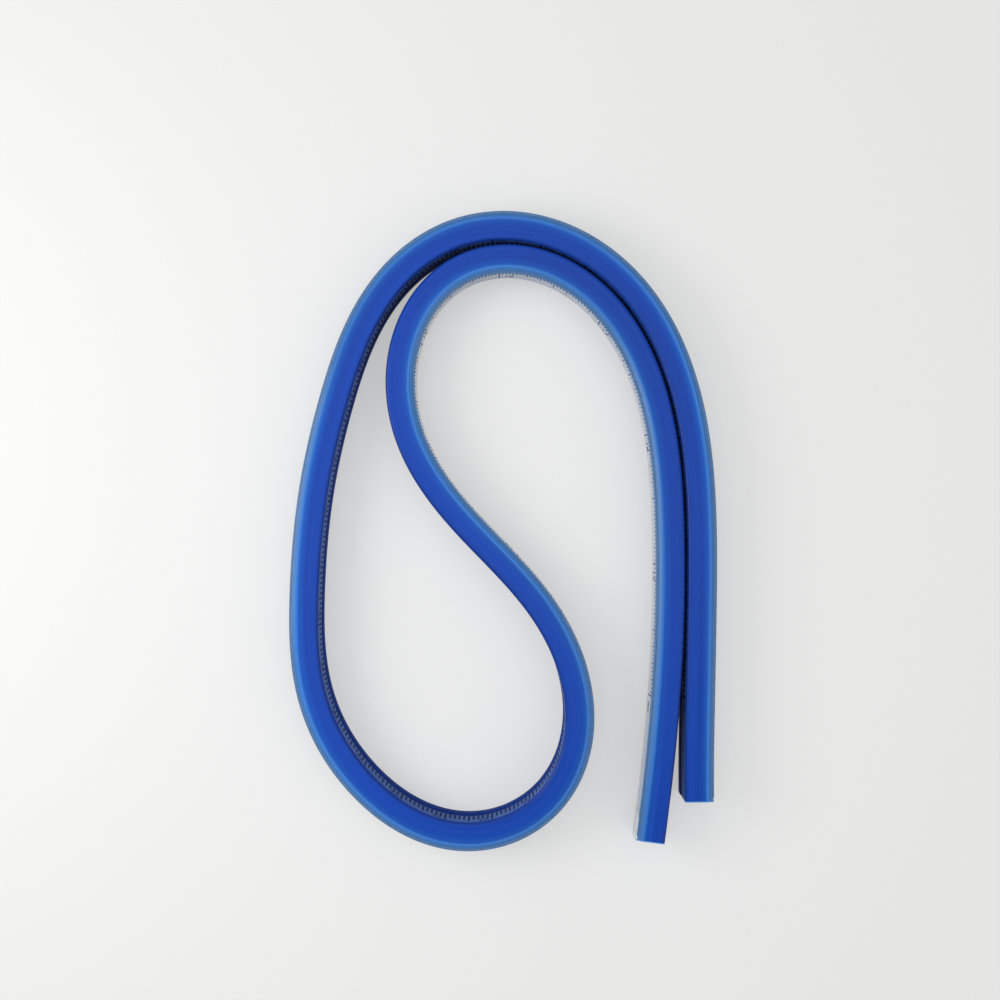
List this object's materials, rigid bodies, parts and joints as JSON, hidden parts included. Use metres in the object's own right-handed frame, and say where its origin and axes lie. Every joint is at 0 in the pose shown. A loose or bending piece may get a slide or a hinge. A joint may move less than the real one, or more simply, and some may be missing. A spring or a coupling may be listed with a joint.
{
  "type": "flexible curve ruler",
  "caption": "Flexible drafting curve: a blue plastic strip with a lip and scales on both edges, bent into a coil, that opens link by link and keeps its shape.",
  "frame": {"origin": "centre of the bounding box on the flat base, in the coiled rest shape", "axes": "+X to the right and +Y up in the picture, along the coil's long way; +Z up from the base, the hinges' axis"},
  "size_m": [0.0816, 0.1218, 0.0102],
  "materials": {
    "sheath_pvc": "glossy blue soft vinyl",
    "core_lead": "dull grey lead bar",
    "strip_steel": "bright spring steel",
    "plug_pvc": "blue vinyl end seal"
  },
  "bodies": {
    "link_01": {"sheath_01": "sheath_pvc", "lead_core_01": "core_lead", "steel_strip_01": "strip_steel", "end_plug_inner": "plug_pvc"},
    "link_02": {"sheath_02": "sheath_pvc", "lead_core_02": "core_lead", "steel_strip_02": "strip_steel"},
    "link_03": {"sheath_03": "sheath_pvc", "lead_core_03": "core_lead", "steel_strip_03": "strip_steel"},
    "link_04": {"sheath_04": "sheath_pvc", "lead_core_04": "core_lead", "steel_strip_04": "strip_steel"},
    "link_05": {"sheath_05": "sheath_pvc", "lead_core_05": "core_lead", "steel_strip_05": "strip_steel"},
    "link_06": {"sheath_06": "sheath_pvc", "lead_core_06": "core_lead", "steel_strip_06": "strip_steel"},
    "link_07": {"sheath_07": "sheath_pvc", "lead_core_07": "core_lead", "steel_strip_07": "strip_steel"},
    "link_08": {"sheath_08": "sheath_pvc", "lead_core_08": "core_lead", "steel_strip_08": "strip_steel"},
    "link_09": {"sheath_09": "sheath_pvc", "lead_core_09": "core_lead", "steel_strip_09": "strip_steel"},
    "link_10": {"sheath_10": "sheath_pvc", "lead_core_10": "core_lead", "steel_strip_10": "strip_steel"},
    "link_11": {"sheath_11": "sheath_pvc", "lead_core_11": "core_lead", "steel_strip_11": "strip_steel"},
    "link_12": {"sheath_12": "sheath_pvc", "lead_core_12": "core_lead", "steel_strip_12": "strip_steel"},
    "link_13": {"sheath_13": "sheath_pvc", "lead_core_13": "core_lead", "steel_strip_13": "strip_steel"},
    "link_14": {"sheath_14": "sheath_pvc", "lead_core_14": "core_lead", "steel_strip_14": "strip_steel"},
    "link_15": {"sheath_15": "sheath_pvc", "lead_core_15": "core_lead", "steel_strip_15": "strip_steel"},
    "link_16": {"sheath_16": "sheath_pvc", "lead_core_16": "core_lead", "steel_strip_16": "strip_steel"},
    "link_17": {"sheath_17": "sheath_pvc", "lead_core_17": "core_lead", "steel_strip_17": "strip_steel"},
    "link_18": {"sheath_18": "sheath_pvc", "lead_core_18": "core_lead", "steel_strip_18": "strip_steel"},
    "link_19": {"sheath_19": "sheath_pvc", "lead_core_19": "core_lead", "steel_strip_19": "strip_steel", "end_plug_outer": "plug_pvc"}
  },
  "joints": [
    {"name": "bend_01", "type": "hinge", "parent": "link_02", "child": "link_01", "pos_m": [0.03259, -0.00752, 0.0051], "axis": [0, 0, 1], "range_deg": [0, 7.99]},
    {"name": "bend_02", "type": "hinge", "parent": "link_03", "child": "link_02", "pos_m": [0.02845, 0.02863, 0.0051], "axis": [0, 0, 1], "range_deg": [0, 16.66]},
    {"name": "bend_03", "type": "hinge", "parent": "link_04", "child": "link_03", "pos_m": [0.01481, 0.04788, 0.0051], "axis": [0, 0, 1], "range_deg": [0, 10.7]},
    {"name": "bend_04", "type": "hinge", "parent": "link_05", "child": "link_04", "pos_m": [-0.00435, 0.05186, 0.0051], "axis": [0, 0, 1], "range_deg": [0, 12.83]},
    {"name": "bend_05", "type": "hinge", "parent": "link_06", "child": "link_05", "pos_m": [-0.01828, 0.03905, 0.0051], "axis": [0, 0, 1], "range_deg": [0, 11.9]},
    {"name": "bend_06", "type": "hinge", "parent": "link_07", "child": "link_06", "pos_m": [-0.01849, 0.01771, 0.0051], "axis": [0, 0, 1], "range_deg": [0, 8.21]},
    {"name": "bend_07", "type": "hinge", "parent": "link_08", "child": "link_07", "pos_m": [0, -0.00696, 0.0051], "axis": [0, 0, 1], "range_deg": [-1.08, 0]},
    {"name": "bend_08", "type": "hinge", "parent": "link_09", "child": "link_08", "pos_m": [0.01325, -0.02974, 0.0051], "axis": [0, 0, 1], "range_deg": [-8.1, 0]},
    {"name": "bend_09", "type": "hinge", "parent": "link_10", "child": "link_09", "pos_m": [0.00936, -0.04948, 0.0051], "axis": [0, 0, 1], "range_deg": [-10.16, 0]},
    {"name": "bend_10", "type": "hinge", "parent": "link_10", "child": "link_11", "pos_m": [-0.00676, -0.05725, 0.0051], "axis": [0, 0, 1], "range_deg": [0, 9.79]},
    {"name": "bend_11", "type": "hinge", "parent": "link_11", "child": "link_12", "pos_m": [-0.02551, -0.04841, 0.0051], "axis": [0, 0, 1], "range_deg": [0, 8.16]},
    {"name": "bend_12", "type": "hinge", "parent": "link_12", "child": "link_13", "pos_m": [-0.0365, -0.02635, 0.0051], "axis": [0, 0, 1], "range_deg": [0, 5.5]},
    {"name": "bend_13", "type": "hinge", "parent": "link_13", "child": "link_14", "pos_m": [-0.03492, 0.00951, 0.0051], "axis": [0, 0, 1], "range_deg": [0, 19.25]},
    {"name": "bend_14", "type": "hinge", "parent": "link_14", "child": "link_15", "pos_m": [-0.02481, 0.04163, 0.0051], "axis": [0, 0, 1], "range_deg": [0, 31.5]},
    {"name": "outer_arm_open", "type": "hinge", "parent": "link_15", "child": "link_16", "pos_m": [-0.00774, 0.0561, 0.0051], "axis": [0, 0, 1], "range_deg": [0, 42.79]},
    {"name": "bend_16", "type": "hinge", "parent": "link_16", "child": "link_17", "pos_m": [0.01296, 0.0542, 0.0051], "axis": [0, 0, 1], "range_deg": [0, 40.07]},
    {"name": "bend_17", "type": "hinge", "parent": "link_17", "child": "link_18", "pos_m": [0.02985, 0.03699, 0.0051], "axis": [0, 0, 1], "range_deg": [0, 30.57]},
    {"name": "outer_tip_bend", "type": "hinge", "parent": "link_18", "child": "link_19", "pos_m": [0.03682, 0.00636, 0.0051], "axis": [0, 0, 1], "range_deg": [0, 35]}
  ],
  "couplings": [
    {"joint": "bend_01", "follows": "outer_arm_open", "ratio": 0.1862},
    {"joint": "bend_02", "follows": "outer_arm_open", "ratio": 0.3888},
    {"joint": "bend_03", "follows": "outer_arm_open", "ratio": 0.2496},
    {"joint": "bend_04", "follows": "outer_arm_open", "ratio": 0.2994},
    {"joint": "bend_05", "follows": "outer_arm_open", "ratio": 0.2777},
    {"joint": "bend_06", "follows": "outer_arm_open", "ratio": 0.1914},
    {"joint": "bend_07", "follows": "outer_arm_open", "ratio": -0.0247},
    {"joint": "bend_08", "follows": "outer_arm_open", "ratio": -0.1888},
    {"joint": "bend_09", "follows": "outer_arm_open", "ratio": -0.2369},
    {"joint": "bend_10", "follows": "outer_arm_open", "ratio": 0.2283},
    {"joint": "bend_11", "follows": "outer_arm_open", "ratio": 0.1903},
    {"joint": "bend_12", "follows": "outer_arm_open", "ratio": 0.1281},
    {"joint": "bend_13", "follows": "outer_arm_open", "ratio": 0.4495},
    {"joint": "bend_14", "follows": "outer_arm_open", "ratio": 0.7357},
    {"joint": "bend_16", "follows": "outer_arm_open", "ratio": 0.936},
    {"joint": "bend_17", "follows": "outer_arm_open", "ratio": 0.7139}
  ]
}
